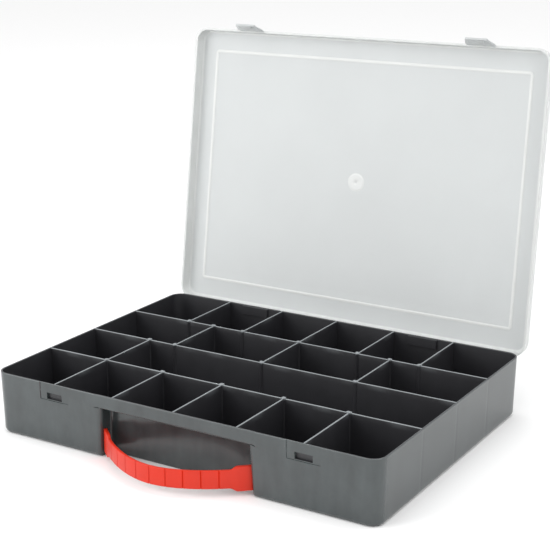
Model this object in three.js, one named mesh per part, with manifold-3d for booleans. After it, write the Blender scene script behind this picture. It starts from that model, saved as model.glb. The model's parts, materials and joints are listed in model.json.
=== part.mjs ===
// Compartmented parts organizer: a shallow tray with fixed partitions, a hinged
// frosted lid with two snap tabs, and a bowed strap handle in a front recess.
// Millimetres, +Z up. Origin: centre of the tray's flat underside.
// Front (handle side) faces -Y, the lid hinges at the rear (+Y) and stands open.

import * as THREE from 'three';
import { mergeVertices } from 'three/addons/utils/BufferGeometryUtils.js';
import Module from 'manifold-3d';

const wasm = await Module();
wasm.setup();

// ---- driving dimensions -------------------------------------------------

// tray
const TRAY_WIDTH = 370;
const TRAY_DEPTH = 272;
const TRAY_HEIGHT = 55;
const WALL = 1.8;
const FLOOR = 2.0;
const WALL_DRAFT = 2.0; // how far each wall leans in from rim to base
const CORNER_RADIUS = 12;
const BASE_RADIUS = 4;
const INNER_BASE_RADIUS = 2.5;
const CORNER_STEPS = 6;
const GAP = 0.3; // between neighbouring pieces

// partitions
const PARTITION_THICKNESS = 1.7;
const ROW_PITCH = 63.5;
const POST_RADIUS = 2.0;
const POST_RISE = 1.0; // how far a post stands above the rim
const SIXTH = 60.2;
const QUARTER = 92.3;

// handle recess in the front wall
const RECESS_TOP = 43.6;
const RECESS_HALF_TOP = 71.2;
const RECESS_HALF_BASE = 73.4;
const RECESS_DEPTH = 14.5;
const RECESS_BACK_DRAFT = 1.0;
const RECESS_FLARE = 4; // rounding of the recess's front edges
const RECESS_CORNER = 2.5;

// handle
const PIVOT_Y = -129.2; // the middle of the end blocks
const PIVOT_Z = 14.1;
const PIVOT_RADIUS = 1.5;
const PIVOT_END = 77;
const HANDLE_SPAN = 75.3; // half width of the bow's full curve
const HANDLE_END = 71.7; // half width of the strap itself
const HANDLE_ROOT_Y = -125.7;
const HANDLE_BOW = 40.2;
const HANDLE_POWER = 1.85;
const STRAP_THICKNESS = 2.6;
const STRAP_WIDTH = 15.2;
const BLOCK_HEIGHT = 20.6;
const BLOCK_THICKNESS = 3.2;
const BLOCK_START = 58.2;
const BLOCK_FULL = 63.0;
const GROOVE_COUNT = 9;
const GROOVE_PITCH = 14;
const GROOVE_WIDTH = 1.2;
const GROOVE_DEPTH = 0.7;

// lid
const LID_WALL = 1.6;
const LID_OVERHANG = 0.2;
const LID_BEAD = 0.7;
const LID_BEAD_HEIGHT = 2.2;
const LID_RIM_DEPTH = 12.4;
const LID_EDGE_RADIUS = 2.5;
const LID_CLEARANCE = 0.4; // over the tray's rim when shut
const LID_OPEN = 97.9; // degrees from shut
const RIDGE_HALF_X = 166;
const RIDGE_HALF_Y = 114.7;
const RIDGE_WIDTH = 2.4;
const RIDGE_OUTSIDE = 0.9;
const RIDGE_INSIDE = 0.4;
const GATE_RADIUS = 8;
const GATE_RISE = 0.3;

// rear hinges
const HINGE_Y = 136.5;
const HINGE_Z = 50;
const HINGE_X = 90.3;
const HINGE_HALF = 13;
const KNUCKLE_HALF = 12;
const KNUCKLE_RADIUS = 2.6;
const KNUCKLE_BORE = 1.5;
const KNUCKLE_MOUTH = 2.0; // opening of the snap-on knuckle
const PIN_RADIUS = 1.2;
const CHEEK = 3;
const TONGUE = 1.8; // thickness of the knuckle's tongue
const BACKING = 1.4; // wall left round a hinge pocket

// latches
const LATCH_X = 2 * SIXTH;
const LATCH_AXIS_Y = -136.4;
const LATCH_AXIS_Z = 54.6;
const LATCH_LENGTH = 14.2;
const LATCH_BASE = 28.4;
const LATCH_TIP = 21;
const LATCH_THICKNESS = 1.4;
const LATCH_FLARE = 20; // degrees from vertical, as moulded
const HOOK_HALF = 7;
const HOOK_REACH = 1.9;
const POCKET_HALF = 14.8;
const POCKET_BOTTOM = 40;
const POCKET_DEPTH = 0.8;
const SLOT_HALF = 7.8;
const SLOT_BOTTOM = 41;
const SLOT_TOP = 46.4;
const SLOT_DEPTH = 2.2;
const BOSS_HALF = 18;
const BOSS_BOTTOM = 37.5;
const BOSS_TOP = 50;
const BOSS_DEPTH = 3;

// ---- derived places -----------------------------------------------------

const halfX = TRAY_WIDTH / 2;
const halfY = TRAY_DEPTH / 2;
const floorTop = FLOOR + GAP;
const lidEdgeZ = TRAY_HEIGHT + LID_CLEARANCE;
const lidTopZ = lidEdgeZ + LID_RIM_DEPTH;
const rad = THREE.MathUtils.degToRad;

// How far the tray's outer wall is inset at height z.
const draftAt = (z) => WALL_DRAFT * (1 - z / TRAY_HEIGHT);

// ---- materials ----------------------------------------------------------

function plastic(color, roughness, extra = {}) {
  return new THREE.MeshStandardMaterial({ color, roughness, metalness: 0, ...extra });
}

const trayPlastic = plastic(0x6c7678, 0.45);
const partitionPlastic = plastic(0x3c3d42, 0.5);
const lidPlastic = plastic(0xe4e8e8, 0.35, { transparent: true, opacity: 0.6 });
const handlePlastic = plastic(0xe8442e, 0.4);

// ---- solid helpers ------------------------------------------------------

function toSolid(geometry) {
  const bare = geometry.clone();
  bare.deleteAttribute('normal');
  bare.deleteAttribute('uv');
  const merged = mergeVertices(bare, 1e-4);
  return new wasm.Manifold(new wasm.Mesh({
    numProp: 3,
    vertProperties: new Float32Array(merged.attributes.position.array),
    triVerts: new Uint32Array(merged.index.array),
  }));
}

function toGeometry(solid) {
  const mesh = solid.getMesh();
  const geometry = new THREE.BufferGeometry();
  geometry.setAttribute('position', new THREE.BufferAttribute(mesh.vertProperties, 3));
  geometry.setIndex(new THREE.BufferAttribute(mesh.triVerts, 1));
  geometry.computeVertexNormals();
  return geometry;
}

// A closed solid through rings of equal point count, listed bottom to top,
// each ring anticlockwise seen from its top side.
function loft(rings, flat = (p) => new THREE.Vector2(p[0], p[1])) {
  const count = rings[0].length;
  const index = [];
  const last = (rings.length - 1) * count;
  for (let r = 0; r < rings.length - 1; r += 1) {
    for (let i = 0; i < count; i += 1) {
      const a = r * count + i;
      const b = r * count + ((i + 1) % count);
      index.push(a, b, b + count, a, b + count, a + count);
    }
  }
  for (const [a, b, c] of THREE.ShapeUtils.triangulateShape(rings[0].map(flat), [])) {
    index.push(a, c, b);
  }
  for (const [a, b, c] of THREE.ShapeUtils.triangulateShape(rings.at(-1).map(flat), [])) {
    index.push(last + a, last + b, last + c);
  }
  const geometry = new THREE.BufferGeometry();
  geometry.setAttribute('position', new THREE.Float32BufferAttribute(rings.flat(2), 3));
  geometry.setIndex(index);
  return toSolid(geometry);
}

function box(x0, x1, y0, y1, z0, z1) {
  const geometry = new THREE.BoxGeometry(x1 - x0, y1 - y0, z1 - z0);
  geometry.translate((x0 + x1) / 2, (y0 + y1) / 2, (z0 + z1) / 2);
  return toSolid(geometry);
}

function cylinderX(x0, x1, y, z, radius, sides = 16) {
  const geometry = new THREE.CylinderGeometry(radius, radius, x1 - x0, sides);
  geometry.rotateZ(Math.PI / 2);
  geometry.translate((x0 + x1) / 2, y, z);
  return toSolid(geometry);
}

function cylinderZ(x, y, z0, z1, radius, sides = 12) {
  const geometry = new THREE.CylinderGeometry(radius, radius, z1 - z0, sides);
  geometry.rotateX(Math.PI / 2);
  geometry.translate(x, y, (z0 + z1) / 2);
  return toSolid(geometry);
}

// A plate of an outline in a vertical plane, its thickness centred on the plane.
function plate(points, thickness, along) {
  const shape = new THREE.Shape(points.map(([u, z]) => new THREE.Vector2(u, z)));
  const geometry = new THREE.ExtrudeGeometry(shape, { depth: thickness, bevelEnabled: false });
  geometry.translate(0, 0, -thickness / 2);
  geometry.rotateX(Math.PI / 2);
  if (along === 'y') {
    geometry.rotateZ(Math.PI / 2);
  }
  return toSolid(geometry);
}

// Rounded rectangle centred on the origin, anticlockwise from +X, at height z.
function roundedRing(hx, hy, radius, z, steps = CORNER_STEPS) {
  const ring = [];
  const centres = [[1, 1], [-1, 1], [-1, -1], [1, -1]];
  centres.forEach(([sx, sy], corner) => {
    for (let k = 0; k <= steps; k += 1) {
      const angle = (corner + k / steps) * Math.PI / 2;
      ring.push([
        sx * (hx - radius) + radius * Math.cos(angle),
        sy * (hy - radius) + radius * Math.sin(angle),
        z,
      ]);
    }
  });
  return ring;
}

function insetRing(hx, hy, radius, inset, z) {
  return roundedRing(hx - inset, hy - inset, Math.max(radius - inset, 0.5), z);
}

function node(name, geometry, material) {
  const mesh = new THREE.Mesh(geometry, material);
  mesh.name = name;
  return mesh;
}

// ---- tray ---------------------------------------------------------------

// The tray's body outline with a rounded lower edge, inset by offset, from z0 up to top.
function trayBody(offset, radius, z0, top, steps = 4) {
  const rings = [];
  for (let k = 0; k <= steps; k += 1) {
    const angle = (k / steps) * Math.PI / 2;
    const z = z0 + radius * (1 - Math.cos(angle));
    const inset = offset + draftAt(z) + radius * (1 - Math.sin(angle));
    rings.push(insetRing(halfX, halfY, CORNER_RADIUS, inset, z));
  }
  rings.push(insetRing(halfX, halfY, CORNER_RADIUS, offset + draftAt(top), top));
  return loft(rings);
}

// Plan outline of the handle recess at height z; skin widens it by one wall.
function recessRing(z, skin) {
  const share = 1 - z / RECESS_TOP;
  const half = RECESS_HALF_TOP + (RECESS_HALF_BASE - RECESS_HALF_TOP) * share + skin;
  const front = -halfY + draftAt(z) + skin;
  const back = -halfY + RECESS_DEPTH + RECESS_BACK_DRAFT * share + skin;
  const flare = RECESS_FLARE - skin;
  const steps = 5;
  const side = [[half + flare, -halfY - 12]];
  for (let k = 0; k <= steps; k += 1) {
    const angle = (k / steps) * Math.PI / 2;
    side.push([half + flare - flare * Math.sin(angle), front + flare - flare * Math.cos(angle)]);
  }
  for (let k = 0; k <= 3; k += 1) {
    const angle = (k / 3) * Math.PI / 2;
    side.push([
      half - RECESS_CORNER + RECESS_CORNER * Math.cos(angle),
      back - RECESS_CORNER + RECESS_CORNER * Math.sin(angle),
    ]);
  }
  const mirrored = side.map(([x, y]) => [-x, y]).reverse();
  return [...side, ...mirrored].map(([x, y]) => [x, y, z]);
}

function tray() {
  const outside = trayBody(0, BASE_RADIUS, 0, TRAY_HEIGHT);
  const inside = trayBody(WALL, INNER_BASE_RADIUS, FLOOR, TRAY_HEIGHT + 1);
  const recess = loft([recessRing(-1, 0), recessRing(RECESS_TOP, 0)]);
  const recessSkin = loft([recessRing(-1, WALL), recessRing(RECESS_TOP + WALL, WALL)]);
  let body = outside.subtract(inside.subtract(recessSkin)).subtract(recess);
  for (const side of [-1, 1]) {
    const [near, far] = side > 0 ? [RECESS_HALF_TOP - 2, PIVOT_END + 2] : [-PIVOT_END - 2, 2 - RECESS_HALF_TOP];
    body = body.subtract(cylinderX(near, far, PIVOT_Y, PIVOT_Z, PIVOT_RADIUS + GAP));
    body = withLatchPocket(body, side * LATCH_X);
    body = withHingePin(body, side * HINGE_X);
  }
  return node('tray', toGeometry(body), trayPlastic);
}

// A shallow pocket from the rim down, with a blind catch slot backed by a boss.
function withLatchPocket(body, x) {
  const bossBack = -halfY + WALL + BOSS_DEPTH;
  const boss = box(x - BOSS_HALF, x + BOSS_HALF, -halfY + WALL / 2, bossBack, BOSS_BOTTOM, BOSS_TOP);
  const outer = -halfY - 2;
  const pocket = loft([POCKET_BOTTOM, TRAY_HEIGHT + 1].map((z) => {
    const back = -halfY + draftAt(z) + POCKET_DEPTH;
    return [
      [x - POCKET_HALF, outer, z], [x + POCKET_HALF, outer, z],
      [x + POCKET_HALF, back, z], [x - POCKET_HALF, back, z],
    ];
  }));
  const slotBack = -halfY + draftAt(SLOT_BOTTOM) + POCKET_DEPTH + SLOT_DEPTH;
  const slot = box(x - SLOT_HALF, x + SLOT_HALF, outer, slotBack, SLOT_BOTTOM, SLOT_TOP);
  return body.add(boss).subtract(pocket).subtract(slot);
}

// A pocket in the rear wall below the rim, bridged by a pin that two cheeks hold,
// with the wall thickened inside to keep the pocket blind.
function withHingePin(body, x) {
  const reach = KNUCKLE_RADIUS + GAP;
  const floorY = HINGE_Y - reach;
  const boss = box(
    x - HINGE_HALF - BACKING, x + HINGE_HALF + BACKING,
    floorY - BACKING, halfY - WALL / 2, HINGE_Z - reach - BACKING, HINGE_Z + reach + BACKING,
  );
  const pocket = box(
    x - HINGE_HALF, x + HINGE_HALF, floorY, halfY + 4, HINGE_Z - reach, HINGE_Z + reach,
  );
  let result = body.add(boss);
  for (const side of [-1, 1]) {
    const inner = x + side * HINGE_HALF;
    const outer = x + side * (HINGE_HALF + CHEEK);
    const cheek = box(
      Math.min(inner, outer), Math.max(inner, outer),
      halfY - WALL, HINGE_Y + PIN_RADIUS + 1, HINGE_Z - reach, HINGE_Z + reach,
    );
    result = result.add(cheek);
  }
  const pinHalf = HINGE_HALF + CHEEK / 2;
  const pin = cylinderX(x - pinHalf, x + pinHalf, HINGE_Y, HINGE_Z, PIN_RADIUS, 12);
  return result.subtract(pocket).add(pin);
}

// ---- partitions ---------------------------------------------------------

// One long wall from side to side, with a round post where a divider meets it.
function longPartition(name, y, posts) {
  const top = TRAY_HEIGHT;
  const chamfer = INNER_BASE_RADIUS;
  const reach = (z) => halfX - WALL - GAP - draftAt(z);
  const outline = [
    [-reach(floorTop) + chamfer, floorTop], [reach(floorTop) - chamfer, floorTop],
    [reach(floorTop + chamfer), floorTop + chamfer], [reach(top), top],
    [-reach(top), top], [-reach(floorTop + chamfer), floorTop + chamfer],
  ];
  let wall = plate(outline, PARTITION_THICKNESS, 'x').translate([0, y, 0]);
  for (const x of posts) {
    wall = wall.add(cylinderZ(x, y, floorTop, top + POST_RISE, POST_RADIUS));
  }
  return node(name, toGeometry(wall), partitionPlastic);
}

// A short wall between y0 and y1; an end given as null runs to the tray's own wall.
function crossDivider(name, x, y0, y1) {
  const top = TRAY_HEIGHT;
  const chamfer = INNER_BASE_RADIUS;
  const reach = (z) => halfY - WALL - GAP - draftAt(z);
  const clear = POST_RADIUS + GAP;
  const front = y0 === null ? -reach(floorTop) + chamfer : y0 + clear;
  const rear = y1 === null ? reach(floorTop) - chamfer : y1 - clear;
  const outline = [[front, floorTop], [rear, floorTop]];
  if (y1 === null) {
    outline.push([reach(floorTop + chamfer), floorTop + chamfer], [reach(top), top]);
  } else {
    outline.push([rear, top]);
  }
  if (y0 === null) {
    outline.push([-reach(top), top], [-reach(floorTop + chamfer), floorTop + chamfer]);
  } else {
    outline.push([front, top]);
  }
  let wall = plate(outline, PARTITION_THICKNESS, 'y').translate([x, 0, 0]);
  if (y0 === null) {
    wall = wall.subtract(frontKeepOut(x));
  }
  return node(name, toGeometry(wall), partitionPlastic);
}

// What a front-row divider steps around: the handle recess or a latch's boss.
function frontKeepOut(x) {
  const wide = PARTITION_THICKNESS;
  const outer = -halfY - 2;
  if (Math.abs(x) < RECESS_HALF_TOP) {
    const back = -halfY + RECESS_DEPTH + RECESS_BACK_DRAFT + WALL + GAP;
    return box(x - wide, x + wide, outer, back, -1, RECESS_TOP + WALL + GAP);
  }
  const back = -halfY + WALL + BOSS_DEPTH + GAP;
  return box(x - wide, x + wide, outer, back, BOSS_BOTTOM - GAP, BOSS_TOP + GAP);
}

function partitions() {
  const sixths = [-2, -1, 0, 1, 2].map((k) => k * SIXTH);
  const quarters = [-1, 0, 1].map((k) => k * QUARTER);
  const rows = [
    { name: 'front', dividers: sixths, y0: null, y1: -ROW_PITCH },
    { name: 'second', dividers: [sixths[0]], y0: -ROW_PITCH, y1: 0 },
    { name: 'third', dividers: quarters, y0: 0, y1: ROW_PITCH },
    { name: 'rear', dividers: sixths, y0: ROW_PITCH, y1: null },
  ];
  const longNames = ['front', 'middle', 'rear'];
  const walls = longNames.map((name, k) => {
    const posts = [...new Set([...rows[k].dividers, ...rows[k + 1].dividers])];
    return longPartition(`long_partition_${name}`, (k - 1) * ROW_PITCH, posts);
  });
  for (const row of rows) {
    row.dividers.forEach((x, k) => {
      walls.push(crossDivider(`divider_${row.name}_${k + 1}`, x, row.y0, row.y1));
    });
  }
  return walls;
}

// ---- handle -------------------------------------------------------------

// The bow's centre line: y at distance x from the middle.
const bowAt = (x) => HANDLE_ROOT_Y - HANDLE_BOW * (1 - (Math.abs(x) / HANDLE_SPAN) ** HANDLE_POWER);

// Unit normal of the bow at x, pointing forward.
function bowNormal(x) {
  const step = 0.01;
  const slope = (bowAt(x + step) - bowAt(x - step)) / (2 * step);
  const length = Math.hypot(1, slope);
  return [slope / length, -1 / length];
}

// The x at a given length along the bow from its middle.
function bowX(length) {
  const step = 0.05;
  let x = 0;
  let walked = 0;
  while (walked < Math.abs(length)) {
    walked += Math.hypot(step, bowAt(x + step) - bowAt(x));
    x += step;
  }
  return Math.sign(length) * x;
}

function bowPoint(x, offset) {
  const [nx, ny] = bowNormal(x);
  return [x + nx * offset, bowAt(x) + ny * offset];
}

// The grip: a plan outline with V grooves across its outer face, made STRAP_WIDTH tall.
function strap() {
  const half = STRAP_THICKNESS / 2;
  const reach = BLOCK_FULL + 1;
  const steps = 24;
  const back = [];
  for (let k = 0; k <= steps; k += 1) {
    back.push(bowPoint(reach - (2 * reach * k) / steps, -half));
  }
  const front = [bowPoint(-reach, half)];
  for (let k = 0; k < GROOVE_COUNT; k += 1) {
    const centre = (k - (GROOVE_COUNT - 1) / 2) * GROOVE_PITCH;
    const edges = [centre - GROOVE_WIDTH / 2, centre, centre + GROOVE_WIDTH / 2].map(bowX);
    front.push(bowPoint(edges[0], half));
    front.push(bowPoint(edges[1], half - GROOVE_DEPTH));
    front.push(bowPoint(edges[2], half));
    front.push(bowPoint(bowX(centre + GROOVE_PITCH / 2), half));
  }
  front.push(bowPoint(reach, half));
  const outline = [...front, ...back];
  const low = PIVOT_Z - STRAP_WIDTH / 2;
  return loft([low, low + STRAP_WIDTH].map((z) => outline.map(([x, y]) => [x, y, z])));
}

// A taller, thicker block at one end of the strap, with its pivot pin.
function handleEnd(side) {
  const sections = [
    [BLOCK_START, STRAP_THICKNESS - 0.1, STRAP_WIDTH - 0.1],
    [BLOCK_FULL, BLOCK_THICKNESS, BLOCK_HEIGHT],
    [HANDLE_END - 2, BLOCK_THICKNESS, BLOCK_HEIGHT],
  ];
  const rings = sections.map(([x, thickness, height]) => {
    const front = bowPoint(x, thickness / 2);
    const rear = bowPoint(x, -thickness / 2);
    return sectionRing(front, rear, height);
  });
  const endY = bowAt(HANDLE_END);
  rings.push(sectionRing(
    [HANDLE_END, endY - BLOCK_THICKNESS / 2], [HANDLE_END, endY + BLOCK_THICKNESS / 2], BLOCK_HEIGHT,
  ));
  const block = loft(rings, (p) => new THREE.Vector2(p[1], p[2]));
  const pin = cylinderX(HANDLE_END - 2, PIVOT_END, PIVOT_Y, PIVOT_Z, PIVOT_RADIUS, 16);
  const end = block.add(pin);
  return side > 0 ? end : end.mirror([1, 0, 0]);
}

function sectionRing(front, rear, height) {
  const low = PIVOT_Z - height / 2;
  const high = PIVOT_Z + height / 2;
  return [
    [front[0], front[1], low], [rear[0], rear[1], low],
    [rear[0], rear[1], high], [front[0], front[1], high],
  ];
}

function handle() {
  const grip = strap().add(handleEnd(1)).add(handleEnd(-1));
  return node('handle', toGeometry(grip), handlePlastic);
}

// ---- lid, modelled shut; lidGroup below swings it open --------------------

function lidShell() {
  const hx = halfX + LID_OVERHANG;
  const hy = halfY + LID_OVERHANG;
  const radius = CORNER_RADIUS + LID_OVERHANG;
  const outer = [
    insetRing(hx, hy, radius, -LID_BEAD, lidEdgeZ),
    insetRing(hx, hy, radius, -LID_BEAD, lidEdgeZ + LID_BEAD_HEIGHT - LID_BEAD),
    insetRing(hx, hy, radius, 0, lidEdgeZ + LID_BEAD_HEIGHT),
  ];
  const steps = 4;
  for (let k = 0; k <= steps; k += 1) {
    const angle = (k / steps) * Math.PI / 2;
    const inset = LID_EDGE_RADIUS * (1 - Math.cos(angle));
    const z = lidTopZ - LID_EDGE_RADIUS * (1 - Math.sin(angle));
    outer.push(insetRing(hx, hy, radius, inset + 0.4, z));
  }
  const inner = [
    insetRing(hx, hy, radius, LID_WALL, lidEdgeZ - 1),
    insetRing(hx, hy, radius, LID_WALL + 0.4, lidTopZ - LID_WALL - 1),
    insetRing(hx, hy, radius, LID_WALL + 1.4, lidTopZ - LID_WALL),
  ];
  return loft(outer).subtract(loft(inner));
}

// The raised rectangle that keeps a case stacked on top in place.
function lidRidge() {
  const z0 = lidTopZ - LID_WALL - RIDGE_INSIDE;
  const z1 = lidTopZ + RIDGE_OUTSIDE;
  const ring = (grow, z) => roundedRing(RIDGE_HALF_X + grow, RIDGE_HALF_Y + grow, 2 + grow, z, 2);
  const outer = loft([ring(RIDGE_WIDTH / 2, z0), ring(RIDGE_WIDTH / 2, z1)]);
  const inner = loft([ring(-RIDGE_WIDTH / 2, z0 - 1), ring(-RIDGE_WIDTH / 2, z1 + 1)]);
  return outer.subtract(inner);
}

// A tongue outside the rear rim that ends in a C-shaped knuckle around the tray's pin.
function hingeKnuckle(x) {
  const x0 = x - KNUCKLE_HALF;
  const x1 = x + KNUCKLE_HALF;
  const tongueY = halfY + GAP;
  const tongue = box(x0, x1, tongueY, tongueY + TONGUE, HINGE_Z + 1, lidEdgeZ + 4);
  const bore = cylinderX(x0 - 1, x1 + 1, HINGE_Y, HINGE_Z, KNUCKLE_BORE, 16);
  const mouthHalf = KNUCKLE_MOUTH / 2;
  const mouth = box(x0 - 1, x1 + 1, HINGE_Y - mouthHalf, HINGE_Y + mouthHalf, HINGE_Z - 6, HINGE_Z);
  const barrel = cylinderX(x0, x1, HINGE_Y, HINGE_Z, KNUCKLE_RADIUS, 20);
  return barrel.add(tongue).subtract(bore).subtract(mouth);
}

function lid() {
  const gateZ = lidTopZ - LID_WALL;
  const gate = cylinderZ(0, 0, gateZ - GATE_RISE, gateZ + 0.5, GATE_RADIUS, 24);
  let shell = lidShell().add(lidRidge()).add(gate);
  for (const side of [-1, 1]) {
    shell = shell.add(hingeKnuckle(side * HINGE_X));
  }
  return node('lid', toGeometry(shell), lidPlastic);
}

// A tapered tab below its fold line, with a hook bar near the tip that faces the wall.
// Modelled hanging straight down from the origin, then flared outwards.
function latch(name, x) {
  const outline = [
    [-LATCH_TIP / 2, -LATCH_LENGTH], [LATCH_TIP / 2, -LATCH_LENGTH],
    [LATCH_BASE / 2, -3], [LATCH_BASE / 2, 0], [-LATCH_BASE / 2, 0], [-LATCH_BASE / 2, -3],
  ];
  const tab = plate(outline, LATCH_THICKNESS, 'x');
  const inner = LATCH_THICKNESS / 2;
  const hookLow = SLOT_BOTTOM + 0.6 - LATCH_AXIS_Z;
  const hookHigh = SLOT_TOP - 1.9 - LATCH_AXIS_Z;
  const hook = loft([-HOOK_HALF, HOOK_HALF].map((hx) => [
    [hx, inner - 0.3, hookLow], [hx, inner + HOOK_REACH * 0.4, hookLow],
    [hx, inner + HOOK_REACH, hookHigh - 0.6], [hx, inner + HOOK_REACH, hookHigh],
    [hx, inner - 0.3, hookHigh],
  ]), (p) => new THREE.Vector2(p[1], p[2]));
  const mesh = node(name, toGeometry(tab.add(hook)), lidPlastic);
  mesh.position.set(x, LATCH_AXIS_Y, LATCH_AXIS_Z);
  mesh.rotation.x = -rad(LATCH_FLARE);
  return mesh;
}

function lidGroup() {
  const shut = new THREE.Group();
  shut.position.set(0, -HINGE_Y, -HINGE_Z);
  shut.add(lid(), latch('latch_left', -LATCH_X), latch('latch_right', LATCH_X));
  const swing = new THREE.Group();
  swing.position.set(0, HINGE_Y, HINGE_Z);
  swing.rotation.x = -rad(LID_OPEN);
  swing.add(shut);
  return swing;
}

// ---- assembly -----------------------------------------------------------

const organizer = new THREE.Group();
organizer.add(tray(), ...partitions(), handle(), lidGroup());

export default organizer;
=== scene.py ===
import json
import math

import bpy
import numpy as np
from bpy.props import FloatProperty, FloatVectorProperty, IntProperty, PointerProperty
from mathutils import Matrix, Vector


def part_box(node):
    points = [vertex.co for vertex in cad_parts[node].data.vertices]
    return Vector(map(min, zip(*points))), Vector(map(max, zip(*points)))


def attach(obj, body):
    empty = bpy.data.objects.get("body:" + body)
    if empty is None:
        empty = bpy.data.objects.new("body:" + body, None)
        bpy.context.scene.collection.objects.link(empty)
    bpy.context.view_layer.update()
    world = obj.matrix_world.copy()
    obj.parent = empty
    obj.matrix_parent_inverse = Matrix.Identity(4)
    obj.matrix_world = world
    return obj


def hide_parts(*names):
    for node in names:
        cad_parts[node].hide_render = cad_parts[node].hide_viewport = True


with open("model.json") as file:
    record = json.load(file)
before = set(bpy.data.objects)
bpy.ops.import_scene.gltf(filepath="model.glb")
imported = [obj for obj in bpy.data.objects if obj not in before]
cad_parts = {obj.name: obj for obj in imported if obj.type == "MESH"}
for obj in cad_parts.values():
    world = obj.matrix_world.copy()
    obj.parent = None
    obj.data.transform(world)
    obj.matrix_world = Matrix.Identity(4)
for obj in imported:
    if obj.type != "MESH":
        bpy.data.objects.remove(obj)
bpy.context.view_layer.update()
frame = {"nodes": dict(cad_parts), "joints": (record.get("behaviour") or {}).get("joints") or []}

bl_info = {
    "name": "Compartment Case",
    "version": (1, 0, 0),
    "blender": (4, 5, 0),
    "location": "View3D > Sidebar > Case",
    "description": "An open parts organizer: tray, partitions, lid, snap tabs and strap handle",
    "category": "Object",
}

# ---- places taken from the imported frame, in millimetres --------------------


def box_mm(node):
    """The lowest and highest corners of a CAD node, in millimetres."""
    low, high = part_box(node)
    return np.array(low) * 1000, np.array(high) * 1000


def joint_mm(name):
    """Where a joint's axis passes, in millimetres."""
    found = next(j for j in frame["joints"] if j["name"] == name)
    return np.array(found["pos_m"], float) * 1000


def joint_range(name):
    """A joint's lowest and highest angle, in degrees from rest."""
    found = next(j for j in frame["joints"] if j["name"] == name)
    return found["range_deg"]


TRAY_LOW, TRAY_HIGH = box_mm("tray")
HALF_X = TRAY_HIGH[0]
HALF_Y = -TRAY_LOW[1]
TRAY_TOP = TRAY_HIGH[2]

HINGE = joint_mm("lid_hinge")
LID_OPEN = -joint_range("lid_hinge")[0]
HANDLE_PIVOT = joint_mm("handle_swing")

LONG_WALLS = ["long_partition_front", "long_partition_middle", "long_partition_rear"]
DIVIDERS = sorted(n for n in frame["nodes"] if n.startswith("divider_"))


def middle_of(node, axis):
    """The middle of a CAD node's box along one axis, in millimetres."""
    low, high = box_mm(node)
    return (low[axis] + high[axis]) / 2


ROW_Y = [middle_of(n, 1) for n in LONG_WALLS]
SIXTHS = sorted(middle_of(n, 0) for n in DIVIDERS if n.startswith("divider_front"))
LATCH_X = abs(joint_mm("latch_left_fold")[0])
HINGE_X = 1.5 * SIXTHS[-2]  # midway between the two outer dividers

# ---- sizes that several pieces share, in millimetres ------------------------

RAMP = 0.15  # half the width of the slope at the edge of whatever is pressed into a wall
SUNK = 0.8  # how far a partition's end runs into a wall

POCKET_HALF, POCKET_BOTTOM = 14.8, 40.0  # latch pocket, open at the rim
SLOT_HALF, SLOT_BOTTOM, SLOT_TOP = 7.75, 41.0, 46.4  # catch slot in the pocket
BOSS_HALF, BOSS_BOTTOM, BOSS_TOP, BOSS_DEPTH = 18.0, 37.5, 50.0, 3.0  # boss behind the slot
HOOK_HALF, HOOK_LOW, HOOK_HIGH = 7.0, 41.6, 44.5  # hook on a shut tab

RECESS_WIDENS = 2.2  # how much wider each side of the handle recess is at its base
RECESS_CORNER = 2.5
RECESS_ROUND = 1.2  # rounding of the recess's upper front edge
SINK_WIDTH = 1.5  # how far from a partition's middle its sink mark fades
SINK_TOP_ENDS, SINK_TOP_SIDES = 52, 53  # where sink marks stop, front and rear, and on the sides
NUB_RISE, NUB_Z = 0.6, 38.9  # nub under a catch slot
RIM_ROUND = 0.45
BASE_FLAT = 0.8  # step from the base's rounding to its flat face
POST_UNDER = 0.5  # how far partitions and posts run into the floor

HINGE_HALF = 13.0  # half width of a hinge pocket
HINGE_REACH = 2.9  # from the hinge line to the pocket's floor, top and bottom
HINGE_BACKING = 1.4  # wall left round a hinge pocket
CHEEK = 3.0
CHEEK_NOSE = 2.2
PIN_RADIUS = 1.2
KNUCKLE_HALF, KNUCKLE_RADIUS, KNUCKLE_BORE = 12.0, 2.6, 1.5
HALF_MOUTH = 1.0  # half the opening by which a knuckle snaps on to its pin
TONGUE = 1.8

LID_GAP = 0.3  # between the lid's knuckles and the tray's rear wall
LID_OVERHANG = 0.2  # how far the lid's rim stands out past the tray's
LID_CLEARANCE = 0.4  # over the tray's rim when the lid is shut
LID_CORNER = 12.2
BEAD_ROUND = 0.35
RIDGE_CORNER = 2.4
TAB_FLARE = 20  # degrees from upright at which a tab is moulded

BOW_ROOT = -125.7  # where the bow's curve meets the recess, y
BOW_REACH = 40.2  # how far the bow stands out in the middle
BOW_HALF = 75.3
BOW_POWER = 1.85
STRAP_HALF = 71.7
BLOCK_START, BLOCK_FULL = 58.2, 63.0  # x where an end block starts, and where it is full size
STRAP_EDGE = 0.7
STRAP_END_ROUND = 0.6
PIVOT_RADIUS, PIVOT_START, PIVOT_END = 1.5, 71, 77

# ---- camera -----------------------------------------------------------------

CAMERA_PLACE = (0.60943, -0.97904, 0.468)  # metres
CAMERA_TURN = (31.848, 13.203, -0.331)  # azimuth, elevation and roll, degrees
CAMERA_LENS = 91.59
CAMERA_SHIFT = (0.0236, -0.1309)

# ---- the lid's swing --------------------------------------------------------


def swing(points, angle=LID_OPEN):
    """Turns points about the hinge line from the shut lid to the lid open by that many degrees:
    y and z turn together, x stays."""
    t = math.radians(angle)
    y, z = points[..., 1] - HINGE[1], points[..., 2] - HINGE[2]
    turned = points.copy()
    turned[..., 1] = HINGE[1] + y * math.cos(t) + z * math.sin(t)
    turned[..., 2] = HINGE[2] - y * math.sin(t) + z * math.cos(t)
    return turned


LATCH_AXIS = swing(joint_mm("latch_left_fold"), -LID_OPEN)[1:]


# ---- what a user may change -------------------------------------------------


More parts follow.
